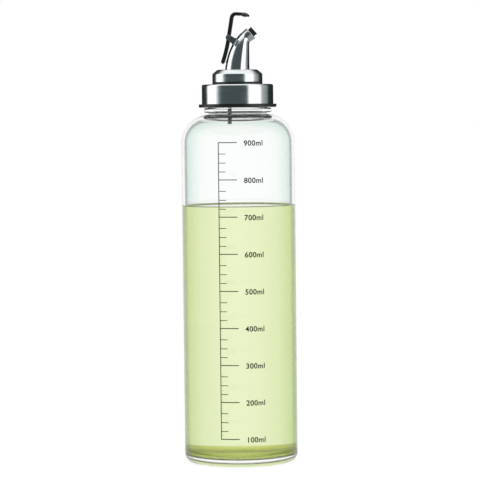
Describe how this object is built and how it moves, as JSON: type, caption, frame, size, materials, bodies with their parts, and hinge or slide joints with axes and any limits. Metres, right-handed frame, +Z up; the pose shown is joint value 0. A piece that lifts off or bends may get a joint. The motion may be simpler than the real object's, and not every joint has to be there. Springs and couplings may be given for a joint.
{
  "type": "glass oil bottle",
  "caption": "Tall clear glass oil bottle with a steel screw collar, a swivelling bent steel spout and a tilting flap that covers the mouth.",
  "frame": {"origin": "centre of the base, on the surface the bottle stands on", "axes": "+Z up along the bottle's axis, +X the way the spout points with the pourer at rest, -Y the side with the printed scale"},
  "size_m": [0.076, 0.076, 0.3013],
  "materials": {
    "clear_glass": "clear, polished",
    "brushed_steel": "fine horizontal brushing",
    "polished_steel": "satin polished",
    "grey_steel": "dull grey",
    "black_plastic": "satin black",
    "black_silicone": "matt black"
  },
  "bodies": {
    "bottle": {"bottle_glass": "clear_glass"},
    "seal": {"neck_gasket": "black_silicone"},
    "collar": {"collar_shell": "brushed_steel", "collar_insert": "black_plastic"},
    "plug": {"stopper": "black_silicone"},
    "pourer": {"pourer_dome": "brushed_steel", "shank_tube": "brushed_steel", "spout_tube": "polished_steel", "mouth_ring": "polished_steel", "tip_insert": "black_silicone", "vent_tube": "black_plastic", "hinge_bracket": "grey_steel", "hinge_pin": "grey_steel"},
    "flap": {"flap_lever": "black_plastic", "flap_pad": "black_silicone"}
  },
  "joints": [
    {"name": "cap_rise", "type": "slide", "parent": "bottle", "child": "seal", "axis": [0, 0, 1], "range_m": [0, 0.0281]},
    {"name": "cap_turn", "type": "hinge", "parent": "seal", "child": "collar", "pos_m": [0, 0, 0.245], "axis": [0, 0, 1], "range_deg": [0, 2520]},
    {"name": "pourer_pull", "type": "slide", "parent": "collar", "child": "plug", "axis": [0, 0, 1], "range_m": [0, 0.028]},
    {"name": "spout_aim", "type": "hinge", "parent": "plug", "child": "pourer", "pos_m": [0, 0, 0.255], "axis": [0, 0, 1], "continuous": true},
    {"name": "flap_tilt", "type": "hinge", "parent": "pourer", "child": "flap", "pos_m": [-0.00551, 0, 0.28439], "axis": [0, 1, 0], "range_deg": [0, 38]}
  ],
  "couplings": [
    {"joint": "cap_rise", "follows": "cap_turn", "m_per_rad": 0.00063662}
  ]
}
